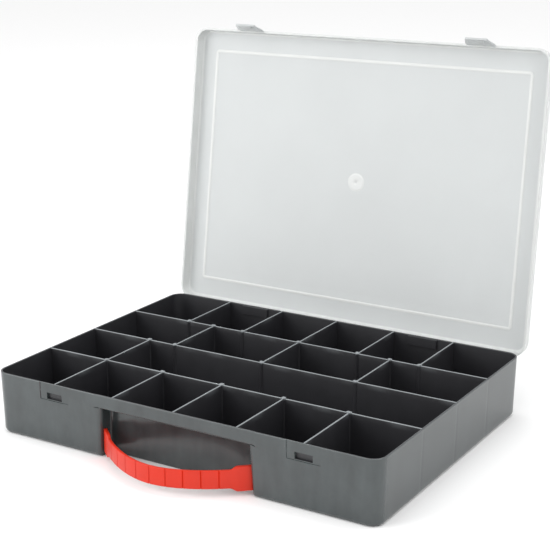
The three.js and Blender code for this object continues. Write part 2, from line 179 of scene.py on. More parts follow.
def length(label, text, value):
    """A length property whose default is given in millimetres."""
    return FloatProperty(
        name=label, description=text, default=value / 1000, unit="LENGTH", subtype="DISTANCE", min=0
    )


def colour(label, text, value):
    """A colour property whose default is an sRGB hex value."""
    return FloatVectorProperty(
        name=label, description=text, size=3, subtype="COLOR", default=from_hex(value), min=0, max=1
    )


def from_hex(value):
    """sRGB hex to linear: each channel over 255, then the sRGB curve undone."""
    srgb = np.array([int(value[i : i + 2], 16) for i in (1, 3, 5)]) / 255
    linear = np.where(srgb <= 0.04045, srgb / 12.92, ((srgb + 0.055) / 1.055) ** 2.4)
    return tuple(float(c) for c in linear)


class TraySizes(bpy.types.PropertyGroup):
    """Sizes of the tray and of what is pressed into it"""

    wall: length("Wall", "Thickness of the tray's walls", 1.8)
    floor: length("Floor", "Thickness of the tray's floor", 2.0)
    draft: length("Draft", "How far each wall leans in from rim to base", 2.0)
    corner: length("Corner radius", "Rounding of the tray's upright corners", 12.0)
    base: length("Base radius", "Rounding between wall and underside", 4.0)
    inner_base: length("Inner base radius", "Rounding between wall and floor inside", 2.5)
    recess_top: length("Recess height", "Top of the handle recess above the base", 43.6)
    recess_half: length("Recess half width", "Half width of the handle recess at its top", 71.2)
    recess_depth: length("Recess depth", "How far the handle recess goes back", 14.5)
    recess_flare: length("Recess flare", "Rounding of the recess's upright front edges", 4.0)
    pocket_depth: length("Latch pocket depth", "How far the latch pockets are set back", 0.6)
    slot_depth: length("Catch slot depth", "How deep the catch slots are", 2.2)
    sink: length("Sink mark depth", "How far the wall sinks opposite a partition", 0.07)


class PartitionSizes(bpy.types.PropertyGroup):
    """Sizes of the walls between compartments and of their posts"""

    top: length("Thickness at top", "Partition thickness at its upper edge", 1.55)
    base: length("Thickness at base", "Partition thickness at the floor", 2.0)
    fillet: length("Floor fillet", "Rounding between partition and floor", 1.2)
    post: length("Post radius", "Radius of the round post at each crossing", 2.0)
    post_rise: length("Post rise", "How far a post stands above the rim", 0.9)


class LidSizes(bpy.types.PropertyGroup):
    """Sizes of the lid and its snap tabs"""

    wall: length("Wall", "Thickness of the lid's panel and rim", 1.6)
    rim: length("Rim depth", "Height of the lid's rim", 12.4)
    bead: length("Bead", "How far the bead on the rim's edge stands out", 0.7)
    edge: length("Edge radius", "Rounding between rim and panel", 2.5)
    ridge_x: length("Ridge half width", "Half width of the stacking ridge", 166.0)
    ridge_y: length("Ridge half depth", "Half depth of the stacking ridge", 114.7)
    ridge: length("Ridge thickness", "Thickness of the stacking ridge", 2.4)
    gate: length("Gate radius", "Radius of the moulding gate's disc", 8.0)
    tab_base: length("Tab width at fold", "Width of a snap tab where it folds", 28.4)
    tab_tip: length("Tab width at tip", "Width of a snap tab at its free edge", 21.0)
    tab_length: length("Tab length", "Length of a snap tab", 14.2)
    tab_thickness: length("Tab thickness", "Thickness of a snap tab", 1.4)


class HandleSizes(bpy.types.PropertyGroup):
    """Sizes of the strap handle"""

    thickness: length("Strap thickness", "Thickness of the strap", 2.6)
    width: length("Strap width", "Height of the strap from edge to edge", 15.2)
    block: length("Block height", "Height of the end blocks", 20.6)
    block_thickness: length("Block thickness", "Thickness of the end blocks", 3.2)
    grooves: IntProperty(name="Grooves", description="How many grooves cross the grip", default=9, min=1)
    pitch: length("Groove pitch", "Distance between grooves", 14.0)
    groove_width: length("Groove width", "Width of a groove", 1.2)
    groove_depth: length("Groove depth", "Depth of a groove", 0.7)


class Finishes(bpy.types.PropertyGroup):
    """Colours of the plastics and the floor"""

    tray_outside: colour("Tray outside", "Colour of the tray's outer faces", "#393f40")
    # The inside colour is the same plastic darkened: painted shade inside the compartments, on the partitions
    # and in the catch slots.
    tray_inside_painted_shade: colour("Tray inside", "Colour of the tray's inner faces and partitions", "#202024")
    # Painted highlight: a paler colour along the rims and the partitions' upper edges.
    rubbed: colour("Rubbed edges", "Colour of rims and upper edges", "#84898c")
    lid: colour("Lid", "Colour of the frosted lid", "#d9dcdc")
    handle: colour("Handle", "Colour of the strap handle", "#cb2a12")
    floor: colour("Floor", "Colour of the plain floor", "#fbfbfb")


GROUPS = {
    "case_tray": TraySizes,
    "case_partitions": PartitionSizes,
    "case_lid": LidSizes,
    "case_handle": HandleSizes,
    "case_finishes": Finishes,
}


def mm(group, *names):
    """Those lengths of a property group, in millimetres."""
    values = [getattr(group, n) * 1000 for n in names]
    return values if len(values) > 1 else values[0]


# ---- surfaces ---------------------------------------------------------------


def ring_mesh(rings):
    """A closed skin through rings of equal point count, with a flat face over the first and last.
    Point i of ring r joins points i and i+1 of ring r+1. Seen from where the rings go, each
    runs anticlockwise."""
    count, around = rings.shape[:2]
    r, i = np.meshgrid(np.arange(count - 1), np.arange(around), indexing="ij")
    j = (i + 1) % around
    quads = np.stack([r * around + i, r * around + j, (r + 1) * around + j, (r + 1) * around + i], -1)
    first = np.arange(around)[::-1]
    last = np.arange(around) + (count - 1) * around
    faces = quads.reshape(-1, 4).tolist() + [first.tolist(), last.tolist()]
    return rings.reshape(-1, 3), faces


def paired_caps(skin, around):
    """The same skin with each end face split into strips between point i and its partner n-1-i,
    so that an end which steps or bends stays clean."""
    points, faces = skin
    i = np.arange(around // 2 - 1)
    strips = np.stack([i, i + 1, around - 2 - i, around - 1 - i], -1)
    last = strips + len(points) - around
    return points, faces[:-2] + strips[:, ::-1].tolist() + last.tolist()


def stacked(parts):
    """Several skins as one: each one's point numbers move up by the points before it."""
    points, faces, start = [], [], 0
    for p, f in parts:
        points.append(p)
        faces += [[k + start for k in face] for face in f]
        start += len(p)
    return np.concatenate(points), faces


def step(value, low, high, soft=RAMP):
    """1 between low and high, 0 outside, with an even ramp of twice soft at each end."""
    up = np.clip((value - low + soft) / (2 * soft), 0, 1)
    down = np.clip((high - value + soft) / (2 * soft), 0, 1)
    return up * down


def edges(value):
    """The two ends of the ramp that step puts at an edge."""
    return [value - RAMP, value + RAMP]


def bell(value, centre, width):
    """A bump of height 1 at centre that fades with the square of the distance over width."""
    return np.exp(-(((value - centre) / width) ** 2))


def quarter(steps):
    """Angles of a quarter turn, both ends included."""
    return np.linspace(0, math.pi / 2, steps + 1)


def rounded_ring(hx, hy, radius, across=24, deep=18, corner=8):
    """A rectangle of half sizes hx, hy with round corners, anticlockwise from the front left:
    even points on each side, an arc of a quarter turn at each corner."""
    cx, cy = hx - radius, hy - radius
    a = quarter(corner)[:-1]
    sx = np.linspace(-1, 1, across + 1)[:-1]
    sy = np.linspace(-1, 1, deep + 1)[:-1]
    xs = [sx * cx, cx + radius * np.sin(a), np.full(deep, hx), cx + radius * np.cos(a)]
    ys = [np.full(across, -hy), -cy - radius * np.cos(a), sy * cy, cy + radius * np.sin(a)]
    half = np.stack([np.concatenate(xs), np.concatenate(ys)], -1)
    return np.concatenate([half, -half])


def at_height(ring, z):
    """A plan ring lifted to height z."""
    return np.concatenate([ring, np.full((len(ring), 1), float(z))], -1)


def circle(middle, radius, steps=24):
    """A full circle of even points about a middle, as two coordinates."""
    turn = np.linspace(0, 2 * math.pi, steps + 1)[:-1]
    return np.stack([middle[0] + radius * np.cos(turn), middle[1] + radius * np.sin(turn)], -1)


def make_piece(name, skin, materials, body, replaced=(), marks=None, material_index=None, angle=38):
    """Puts a skin, given in millimetres, into a mesh in metres, shades it smooth but for edges
    sharper than angle, and hangs it on its body."""
    points, faces = skin
    mesh = bpy.data.meshes.new(name)
    mesh.from_pydata((points / 1000).tolist(), [], faces)
    for material in materials:
        mesh.materials.append(material)
    if material_index is not None:
        mesh.polygons.foreach_set("material_index", np.asarray(material_index, np.int32))
    if marks is not None:
        layer = mesh.attributes.new("rubbed", "FLOAT", "POINT")
        layer.data.foreach_set("value", np.asarray(marks, np.float32))
    mesh.validate()
    mesh.shade_smooth()
    mesh.set_sharp_from_angle(angle=math.radians(angle))
    mesh.update()
    piece = bpy.data.objects.new(name, mesh)
    bpy.context.scene.collection.objects.link(piece)
    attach(piece, body)
    if replaced:
        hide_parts(*replaced)
    return piece


# ---- tray -------------------------------------------------------------------


def draft_at(z, sizes):
    """How far the outer wall is inset at height z: all the draft at the base, none at the rim."""
    return mm(sizes, "draft") * (1 - np.clip(z, 0, TRAY_TOP) / TRAY_TOP)


def around_feature(centre, offsets):
    """Places either side of a centre, in ascending order. An offset of 0 is the centre, once."""
    offsets = np.array(offsets, float)
    return centre + np.concatenate([-offsets[::-1], offsets[offsets > 0]])


def front_side_columns():
    """x of each column on the front wall to the right of the recess: ramps at the edges of
    pocket, slot and boss have a column at each end."""
    steps = [*edges(SLOT_HALF), 11, *edges(POCKET_HALF), *edges(BOSS_HALF)]
    latch = around_feature(LATCH_X, [0, 0.8, 1.6, 2.6, 4.2, 6, *steps])
    return np.concatenate([[78, 84, 90, 96], latch, [142, 147, 152, 157, 162, 166, 170]])


def side_columns():
    """y of each column on a side wall, closer together at the sink marks."""
    marks = np.concatenate([around_feature(y, [0, 0.7, 1.4, 2.2, 3.4, 5, 9, 16]) for y in ROW_Y])
    ends = np.array([-118, -110, -100, -90, 90, 100, 110, 118])
    return np.sort(np.concatenate([ends, marks]))


def rear_columns():
    """x of each column on the rear wall, with sink marks at the rear dividers and a ramp at each
    edge of the hinge pockets and of the bosses inside them."""
    marks = np.concatenate([around_feature(x, [0, 0.7, 1.4, 2.2, 3.4, 5.5]) for x in SIXTHS])
    steps = [*edges(HINGE_HALF), *edges(HINGE_HALF + HINGE_BACKING)]
    pockets = np.concatenate([around_feature(side * HINGE_X, steps) for side in (-1, 1)])
    rest = np.array([-168, -160, -150, -140, -96, -90.3, -84, -48, -40, -30, -20, -10])
    return np.unique(np.round(np.concatenate([marks, pockets, rest, -rest]), 3))[::-1]


def tray_ring(sizes, z, inset, recess_z, recessed, lip, outer):
    """One ring of the tray's skin, anticlockwise from the front left corner.
    The outline is a rounded rectangle, inset by the draft at z plus inset. In front it runs along
    the handle recess, flare arc, side, corner arc and back, where recessed is 1, and straight
    where it is 0, point for point. lip insets only the recess part. Outside, the base rounding
    barely reaches the recess's sides and back."""
    wall = draft_at(z, sizes) + inset
    corner = mm(sizes, "corner")
    cx, cy = HALF_X - corner, HALF_Y - corner
    radius = max(corner - wall, 0.5)
    top, half0, depth, flare0 = mm(sizes, "recess_top", "recess_half", "recess_depth", "recess_flare")
    share = min(max(1 - recess_z / top, 0), 1)
    front = -HALF_Y + draft_at(recess_z, sizes) + inset + lip
    tuck = inset * (0.25 if outer else 1)
    half = half0 + RECESS_WIDENS * share + tuck
    back = -HALF_Y + depth + share + tuck
    flare = max(flare0 - inset, 0.3)
    tight = RECESS_CORNER + tuck
    a = quarter(5)
    corner_x = half - tight + tight * np.cos(a)[::-1]
    corner_y = back - tight + tight * np.sin(a)[::-1]
    side_y = np.linspace(back - tight, front + flare, 5)[1:-1]
    b = quarter(10)
    flare_x = half + flare - flare * np.sin(b)[::-1]
    flare_y = front + flare - flare * np.cos(b)[::-1]
    back_x = np.linspace(0, half0 - 6, 19)
    fine = np.array([1.2, 2.4])
    back_x = np.sort(np.concatenate([back_x, SIXTHS[3] - fine, SIXTHS[3] + fine, fine]))
    deep = np.concatenate([
        np.stack([back_x, np.full(len(back_x), back)], -1),
        np.stack([corner_x, corner_y], -1),
        np.stack([np.full(3, half), side_y], -1),
        np.stack([flare_x, flare_y], -1),
    ])
    straight_x = np.concatenate([
        back_x,
        np.linspace(half0 - 3.5, half0 + 1, 6),
        np.linspace(half0 + 1, half0 + 3, 5)[1:-1],
        np.linspace(half0 + 3, half0 + flare0, 11),
    ])
    plain = np.stack([straight_x, np.full(len(straight_x), front)], -1)
    right = deep * recessed + plain * (1 - recessed)
    left = (right * [-1, 1])[:0:-1]
    beside = front_side_columns()
    y0 = -HALF_Y + wall
    front_left = np.stack([-beside[::-1], np.full(len(beside), y0)], -1)
    front_right = np.stack([beside, np.full(len(beside), y0)], -1)
    turn = quarter(10)
    arcs = [
        np.stack([cx + radius * np.sin(turn), -cy - radius * np.cos(turn)], -1),
        np.stack([cx + radius * np.cos(turn), cy + radius * np.sin(turn)], -1),
    ]
    side = side_columns()
    right_side = np.stack([np.full(len(side), HALF_X - wall), side], -1)
    rear = rear_columns()
    rear_side = np.stack([rear, np.full(len(rear), HALF_Y - wall)], -1)
    return np.concatenate([
        front_left, left, right, front_right, arcs[0], right_side, arcs[1], rear_side,
        arcs[0] * -1, right_side * -1, arcs[1] * -1,
    ])


def tray_plan(sizes):
    """For each ring of the tray, from underside to rim outside and back down to the floor inside:
    height, inset, height in the recess, recessed, lip, and 1 on the outside."""
    base, inner, wall, floor, top = mm(sizes, "base", "inner_base", "wall", "floor", "recess_top")
    rows = [(0, base + BASE_FLAT, 0, 1, 0, 1)]
    for a in quarter(7):
        z = base * (1 - math.cos(a))
        rows.append((z, base * (1 - math.sin(a)), z, 1, 0, 1))
    steps = [*edges(POCKET_BOTTOM), *edges(SLOT_BOTTOM)]
    rows += [(z, 0, z, 1, 0, 1) for z in (8, 13, 18, 23, 28, 33, 36, 37.6, 38.6, *steps)]
    rows += [(42.3, 0, top - 0.9, 1, 0, 1), (42.9, 0, top, 1, 0, 1)]
    for k, a in enumerate(quarter(4)):
        up, out = RECESS_ROUND * (1 - math.cos(a)), RECESS_ROUND * (1 - math.sin(a))
        rows.append((43.2 + 0.3 * k, 0, top + up, 0, out, 1))
    low, high = HINGE[2] - HINGE_REACH, HINGE[2] + HINGE_REACH
    steps = [45.2, *edges(SLOT_TOP), *edges(low), 50, *edges(high), 54]
    rows += [(z, 0, max(z, top + 1.3), 0, 0, 1) for z in steps]
    for a in quarter(3):
        down, out = RIM_ROUND * (1 - math.sin(a)), RIM_ROUND * (1 - math.cos(a))
        rows.append((TRAY_TOP - down, out, TRAY_TOP, 0, 0, 1))
    for a in quarter(3):
        down, out = RIM_ROUND * (1 - math.cos(a)), RIM_ROUND * (1 - math.sin(a))
        rows.append((TRAY_TOP - down, wall - out, TRAY_TOP, 0, 0, 0))
    steps = [*edges(high + HINGE_BACKING)[::-1], *edges(BOSS_TOP)[::-1], 47.5, 46.4]
    rows += [(z, wall, z, 0, 0, 0) for z in steps]
    shelf = top + wall
    rows += [(45.9, wall, shelf, 0, 0, 0), (45.3, wall, shelf, 1, 0, 0), (44.6, wall, shelf - 1, 1, 0, 0)]
    rows += [(z, wall, z, 1, 0, 0) for z in (42, 39.6, *edges(BOSS_BOTTOM)[::-1], 30, 22, 14, 8)]
    for a in quarter(5):
        z = floor + inner * (1 - math.sin(a))
        rows.append((z, wall + inner * (1 - math.cos(a)), z, 1, 0, 0))
    rows.append((floor, wall + inner + BASE_FLAT, floor, 1, 0, 0))
    return rows


def tray_skin(sizes):
    """The tray's whole skin, with what is pressed into it: latch pockets and catch slots set back
    by a ramp at each edge, a small nub under each slot, bosses behind them, sink marks as shallow
    bells opposite every partition, and two blind hinge pockets in the rear wall with a boss
    inside each. Gives with it a mark for each point, how much painted highlight the rim has
    there, and each face's finish: 0 outside, 1 inside and in the catch slots, where the darker
    inside finish is painted shade."""
    rows = tray_plan(sizes)
    still = tray_ring(sizes, TRAY_TOP, 0, TRAY_TOP, 0, 0, 1)
    across, along = still.T
    near = 0.01
    in_front = along < -HALF_Y + near
    on_recess = in_front & (np.abs(across) <= sum(mm(sizes, "recess_half", "recess_flare")) + near)
    on_front = in_front & ~on_recess
    on_rear = along > HALF_Y - near
    on_side = np.abs(across) > HALF_X - near
    pocket, slot, sink = mm(sizes, "pocket_depth", "slot_depth", "sink")
    latch = np.abs(across) - LATCH_X
    hinge = np.abs(across) - HINGE_X
    pocket_floor = HINGE[1] - HINGE_REACH
    from_dividers = sink * sum(bell(across, s, SINK_WIDTH) for s in SIXTHS) * (1.0 * in_front - on_rear)
    from_rows = sink * sum(bell(along, s, SINK_WIDTH) for s in ROW_Y) * on_side * np.sign(across)
    rings, outside, in_slot = [], [], []
    for z, inset, recess_z, recessed, lip, outer in rows:
        ring = tray_ring(sizes, z, inset, recess_z, recessed, lip, outer)
        height = np.where(on_recess, recess_z, z).astype(float)
        x, y = ring[:, 0].copy(), ring[:, 1].copy()
        window = step(height, SLOT_BOTTOM, SLOT_TOP) * step(latch, -SLOT_HALF, SLOT_HALF) * on_front
        # Faces in a catch slot take the darker inside finish: painted shade in the slot.
        in_slot.append(window * outer > 0.5)
        if outer:
            set_back = pocket * step(latch, -POCKET_HALF, POCKET_HALF) * step(height, POCKET_BOTTOM, math.inf)
            set_back = set_back + slot * window
            nub = NUB_RISE * bell(latch, 1, 4) * bell(height, NUB_Z, 0.9)
            y = y + np.where(on_front, set_back * max(1 - inset, 0) - nub, 0)
            y = y + from_dividers * (height < SINK_TOP_ENDS)
            x = x - from_rows * (height < SINK_TOP_SIDES)
            level = step(height, HINGE[2] - HINGE_REACH, HINGE[2] + HINGE_REACH)
            sunk = step(hinge, -HINGE_HALF, HINGE_HALF) * level * on_rear
            y = y * (1 - sunk) + pocket_floor * sunk
        else:
            boss = BOSS_DEPTH * step(latch, -BOSS_HALF, BOSS_HALF) * step(height, BOSS_BOTTOM, BOSS_TOP)
            y = y + np.where(on_front, boss, 0)
            half, reach = HINGE_HALF + HINGE_BACKING, HINGE_REACH + HINGE_BACKING
            raised = step(hinge, -half, half) * step(height, HINGE[2] - reach, HINGE[2] + reach) * on_rear
            y = y * (1 - raised) + (pocket_floor - HINGE_BACKING) * raised
        rings.append(np.stack([x, y, height], -1))
        outside.append(outer)
    rings = np.array(rings)
    points, faces = ring_mesh(rings)
    around = rings.shape[1]
    # Painted highlight, paler towards the top of the rim.
    rim_highlight = 0.15 * np.clip((points[:, 2] - (TRAY_TOP - 0.55)) / 0.4, 0, 1)
    per_ring = np.repeat(np.array(outside[:-1]) * np.array(outside[1:]), around)
    slotted = np.array(in_slot)
    shadowed = slotted[:-1] | slotted[1:]
    index = np.concatenate([np.maximum(1 - per_ring, shadowed.ravel()), [0, 1]])
    return (points, faces), rim_highlight, index


def bar_along_x(section, x0, x1, bevel, steps=3):
    """A bar of an outline in y and z, carried along x from x0 to x1. Near each end the outline
    shrinks towards its middle along a quarter circle, which rounds the end's edge."""
    middle = section.mean(0)
    reach = np.abs(section - middle).max()
    turns = quarter(steps)
    ends = [(x0 + bevel * (1 - math.cos(a)), 1 - bevel * (1 - math.sin(a)) / reach) for a in turns]
    ends += [(x1 - bevel * (1 - math.sin(a)), 1 - bevel * (1 - math.cos(a)) / reach) for a in turns]
    rings = [
        np.concatenate([np.full((len(section), 1), x), middle + (section - middle) * share], -1)
        for x, share in ends
    ]
    return ring_mesh(np.array(rings))


def hinge_pins_skin():
    """At each hinge pocket two cheeks, each a tongue with a round nose about the pin, and the pin
    between them, a rod along x."""
    parts = []
    turn = np.linspace(-math.pi / 2, math.pi / 2, 15)
    nose = np.stack([HINGE[1] + CHEEK_NOSE * np.cos(turn), HINGE[2] + CHEEK_NOSE * np.sin(turn)], -1)
    up = HINGE_REACH
    root = np.array([[-0.8, up], [-2.3, up], [-2.3, -up], [-0.8, -up]]) + HINGE[1:]
    cheek = np.concatenate([nose, root])
    rod = circle(HINGE[1:], PIN_RADIUS)
    far, pin = HINGE_HALF + CHEEK, HINGE_HALF + CHEEK / 2
    for side in (-1, 1):
        x = side * HINGE_X
        parts.append(bar_along_x(cheek, x - far, x - HINGE_HALF, 0.4))
        parts.append(bar_along_x(cheek, x + HINGE_HALF, x + far, 0.4))
        parts.append(bar_along_x(rod, x - pin, x + pin, 0.3))
    return stacked(parts)


# ---- partitions -------------------------------------------------------------


def partition_section(sizes, floor):
    """A partition's cross-section as offsets from its middle and heights, anticlockwise: a fillet
    up from the floor, faces that taper to the top, and a rounded upper edge. The heights are
    close together where an end steps round the recess or a latch boss."""
    top, base, fillet = mm(sizes, "top", "base", "fillet")
    a = quarter(4)
    foot_w = base / 2 + fillet * (1 - np.sin(a))
    foot_z = floor + fillet * (1 - np.cos(a))
    heights = np.array([8, 16, 24, 32, 37.4, 37.9, 40, 44.6, 45.0, 46.0, 49.6, 50.1])
    share = heights / TRAY_TOP
    face_w = (base * (1 - share) + top * share) / 2
    edge = 0.5
    round_w = top / 2 - edge * (1 - np.cos(a))
    round_z = TRAY_TOP - edge * (1 - np.sin(a))
    w = np.concatenate([[base / 2 + fillet], foot_w, face_w, round_w])
    z = np.concatenate([[floor - POST_UNDER], foot_z, heights, round_z])
    return np.concatenate([np.stack([w, z], -1), np.stack([-w, z], -1)[::-1]])


def partition_skin(section, start, end, place, along, stations, seed):
    """A partition: its section carried from start to end, both functions of height, along x or y
    at the given place. Its upper edge wavers by a tenth of a millimetre, as a moulded edge does."""
    w, z = section[:, 0], section[:, 1]
    share = np.linspace(0, 1, stations)[:, None]
    run = start(z)[None] * (1 - share) + end(z)[None] * share
    across = place + np.broadcast_to(w, run.shape)
    waver = 0.09 * np.sin(run / 7.3 + seed) * np.sin(run / 17 + 2 * seed)
    height = z[None] + waver * (z > TRAY_TOP - 0.6)[None]
    if along == "x":
        rings = np.stack([run, across, height], -1)
    else:
        rings = np.stack([place - np.broadcast_to(w, run.shape), run, height], -1)
    return paired_caps(ring_mesh(rings), len(section))


def post_skin(x, y, sizes, floor, seed):
    """The round post where partitions cross: rings of a circle up from a small foot fillet, ending
    in an uneven knob above the rim, whose radius and height wander with the angle. Each row is
    a height, what the radius grows by, and the share of that wandering."""
    radius, rise = mm(sizes, "post", "post_rise")
    turn = np.linspace(0, 2 * math.pi, 21)[:-1]
    knob = TRAY_TOP + rise
    rows = [
        (floor - POST_UNDER, 1.6, 0), (floor + 0.4, 0.7, 0), (floor + 1.4, 0.1, 0), (12, 0, 0),
        (30, -0.05, 0), (TRAY_TOP - 1.2, -0.1, 0), (TRAY_TOP - 0.3, 0, 0.5), (TRAY_TOP + 0.15, 0.2, 1),
        (knob - 0.35, 0.1, 1), (knob - 0.1, -0.35, 1), (knob, -0.9, 1),
    ]
    rings = []
    for z, grow, wild in rows:
        wobble = 0.22 * np.sin(2 * turn + seed) + 0.14 * np.sin(3 * turn + 2.3 * seed)
        r = radius + grow + wild * wobble
        tilt = wild * 0.16 * np.sin(turn + 1.7 * seed)
        rings.append(np.stack([x + r * np.cos(turn), y + r * np.sin(turn), z + tilt], -1))
    return ring_mesh(np.array(rings))


# ---- lid --------------------------------------------------------------------


def lid_skin(sizes):
    """The shut lid as one skin: from the gate's disc out along the panel's underside, over the
    ridge's inner rib, down inside the rim, round its edge, up the bead and rim outside, over the
    rounded edge, across the panel and its ridge to the middle. Gives a mark for each point too:
    how much paler the plastic is made there, a painted highlight on the ridge and the rim, and
    stress whitening round the gate."""
    wall, rim, bead, edge = mm(sizes, "wall", "rim", "bead", "edge")
    ridge_x, ridge_y, ridge, gate = mm(sizes, "ridge_x", "ridge_y", "ridge", "gate")
    hx, hy = HALF_X + LID_OVERHANG, HALF_Y + LID_OVERHANG
    low = TRAY_TOP + LID_CLEARANCE
    top = low + rim
    under = top - wall

    def outline(inset, z):
        """The rim's outline at height z, inset by that much."""
        return at_height(rounded_ring(hx - inset, hy - inset, LID_CORNER - inset), z)

    def rectangle(grow, z):
        """The ridge's middle line at height z, grown by that much."""
        return at_height(rounded_ring(ridge_x + grow, ridge_y + grow, RIDGE_CORNER + grow), z)

    flat = rounded_ring(ridge_x, ridge_y, RIDGE_CORNER)
    angle = np.arctan2(flat[:, 1] / ridge_y, flat[:, 0] / ridge_x)
    unit = np.stack([np.cos(angle), np.sin(angle)], -1)

    def disc(r, z):
        """A circle whose points lie towards those of the ridge."""
        return at_height(r * unit, z)

    def between(r, share, z):
        """That share of the way from the circle to the inside of the ridge."""
        plain = rounded_ring(ridge_x - ridge / 2, ridge_y - ridge / 2, RIDGE_CORNER / 2)
        return at_height(r * unit * (1 - share) + plain * share, z)

    marks = []

    def whiten(value):
        """Marks the rings added since the last call, but for the first and last, so that no mark
        spreads over a wide face."""
        new = len(rings) - len(marks)
        marks.extend([0.0] + [value] * (new - 2) + [0.0] * (new > 1))

    half = ridge / 2
    gate_under = (
        (0.6, -0.35), (1.4, -0.1), (2.2, 0.12), (3.2, 0.3), (5, 0.22),
        (6.6, 0.34), (7.6, 0.28), (8.2, 0.0), (8.4, 0), (9, 0),
    )
    rings = [disc(r, under - z) for r, z in gate_under]
    whiten(0.3)
    rings += [between(gate + 1, s, under) for s in (0.15, 0.35, 0.55, 0.75, 0.93)]
    whiten(0.0)
    rib = (
        (-half - 0.4, 0), (-half, 0.05), (-half + 0.25, 0.4), (0, 0.52),
        (half - 0.25, 0.4), (half, 0.05), (half + 0.4, 0),
    )
    rings += [rectangle(g, under - z) for g, z in rib]
    # Painted highlight on the ridge's inner rib.
    whiten(0.4)
    inner = wall + 0.4
    rings += [outline(inner + 2.2, under)]
    rings += [outline(inner + 1.6 * (1 - math.sin(a)), under - 1.6 * (1 - math.cos(a))) for a in quarter(5)]
    rings += [outline(wall + 0.2, low + 6), outline(wall, low + 1.2)]
    turns = [(BEAD_ROUND * (1 - math.cos(a)), BEAD_ROUND * (1 - math.sin(a))) for a in quarter(3)]
    rings += [outline(wall - c, low + s) for c, s in turns]
    rings += [outline(-bead + s, low + c) for c, s in turns]
    rings += [outline(-bead, low + 1.6), outline(-bead * 0.8, low + 1.95)]
    rings += [outline(0.05, low + 2.4), outline(0.2, low + 6)]
    rings += [outline(0.4 + edge * (1 - math.cos(a)), top - edge * (1 - math.sin(a))) for a in quarter(7)]
    # Painted highlight along the rim, its bead and its rounded edge.
    whiten(0.3)
    rings += [outline(0.4 + edge + 0.6, top)]
    whiten(0.0)
    crest = (
        (half + 0.5, 0), (half, 0.1), (half - 0.25, 0.75), (half - 0.5, 0.9),
        (0.5 - half, 0.9), (0.25 - half, 0.75), (-half, 0.1), (-half - 0.5, 0),
    )
    rings += [rectangle(g, top + z) for g, z in crest]
    # Painted highlight on the ridge's crest.
    whiten(0.4)
    rings += [between(gate + 1, s, top) for s in (0.93, 0.7, 0.45, 0.2)]
    whiten(0.0)
    gate_over = ((9, 0), (4, 0), (3.6, 0), (2.6, -0.3), (1.2, -0.35), (0.5, 0.15))
    rings += [disc(r, top + z) for r, z in gate_over]
    whiten(0.5)
    return ring_mesh(np.array(rings)), np.repeat(marks, len(flat))


def knuckle_skin():
    """The lid's two hinge knuckles: a C about the pin, its outer arc and bore arc joined at a mouth
    below, carried along x, and a tongue up to the rim."""

    def arc(radius):
        """Nearly a full circle about the pin, open below by the mouth."""
        mouth = math.asin(HALF_MOUTH / radius)
        turn = np.linspace(-math.pi / 2 + mouth, 1.5 * math.pi - mouth, 33)
        return np.stack([HINGE[1] + radius * np.cos(turn), HINGE[2] + radius * np.sin(turn)], -1)

    c_shape = np.concatenate([arc(KNUCKLE_RADIUS), arc(KNUCKLE_BORE)[::-1]])
    y0, y1 = HALF_Y + LID_GAP, HALF_Y + LID_GAP + TONGUE
    foot, head = HINGE[2] + 1, 59.4
    tongue = np.array([[y0, foot], [y1, foot], [y1, head - 0.8], [y1 - 0.6, head], [y0, head]])
    parts = []
    for side in (-1, 1):
        ends = [side * HINGE_X - KNUCKLE_HALF, side * HINGE_X + KNUCKLE_HALF]
        rings = np.array([np.concatenate([np.full((len(c_shape), 1), e), c_shape], -1) for e in ends])
        parts.append(paired_caps(ring_mesh(rings), len(c_shape)))
        parts.append(bar_along_x(tongue, *ends, 0.3))
    return stacked(parts)


def tab_skin(sizes):
    """A snap tab hanging straight down from its fold: rings of a flat rounded section whose width
    narrows to the tip, thin at the fold and thicker at the finger lip, with a wedge-shaped hook
    bar on the face towards the wall. Each row is a height, what the half width grows by, and
    the half thickness."""
    base, tip, tall, thick = mm(sizes, "tab_base", "tab_tip", "tab_length", "tab_thickness")
    rows = [
        (-tall, -0.5, 0.35), (-tall + 0.12, -0.15, 0.75), (-tall + 0.4, 0, 0.95),
        (-tall + 1.3, 0, 0.95), (-tall + 1.8, 0, 0.75), (-tall + 2.4, 0, 0.7), (-9, 0, 0.7),
        (-6, 0, 0.7), (-3, 0, 0.7), (-1.6, 0, 0.7), (-1.0, 0, 0.55), (-0.4, 0, 0.35),
        (0.0, -0.1, 0.3), (0.5, -0.1, 0.3), (1.6, -0.2, 0.3),
    ]
    rings = []
    for z, grow, half_y in rows:
        share = np.clip((-z - 3) / (tall - 3), 0, 1)
        half_x = (base * (1 - share) + tip * share) / 2 + grow
        shift = (half_y - thick / 2) if z < -tall + 2 else 0
        ring = rounded_ring(half_x, half_y, half_y * 0.9, across=12, deep=2, corner=4)
        rings.append(at_height(ring - [0, shift], z))
    tab = ring_mesh(np.array(rings))
    inner = thick / 2
    low, high = HOOK_LOW - LATCH_AXIS[1], HOOK_HIGH - LATCH_AXIS[1]
    wedge = np.array([
        [inner - 0.3, low], [inner + 0.7, low + 0.05], [inner + 1.75, high - 0.9],
        [inner + 1.9, high - 0.55], [inner + 1.85, high - 0.1], [inner + 1.6, high], [inner - 0.3, high],
    ])
    return stacked([tab, bar_along_x(wedge, -HOOK_HALF, HOOK_HALF, 0.4)])


# ---- handle -----------------------------------------------------------------


def bow(x):
    """The strap's middle line: y falls from the root by the reach times one less the share of the
    half width to a power a little under two."""
    return BOW_ROOT - BOW_REACH * (1 - (np.abs(x) / BOW_HALF) ** BOW_POWER)


def walk_bow():
    """x from the bow's middle to the strap's end, and how long the curve is from the middle to
    each: the running sum of the straight steps between close points."""
    x = np.linspace(0, STRAP_HALF, 4001)
    return x, np.concatenate([[0], np.cumsum(np.hypot(np.diff(x), np.diff(bow(x))))])


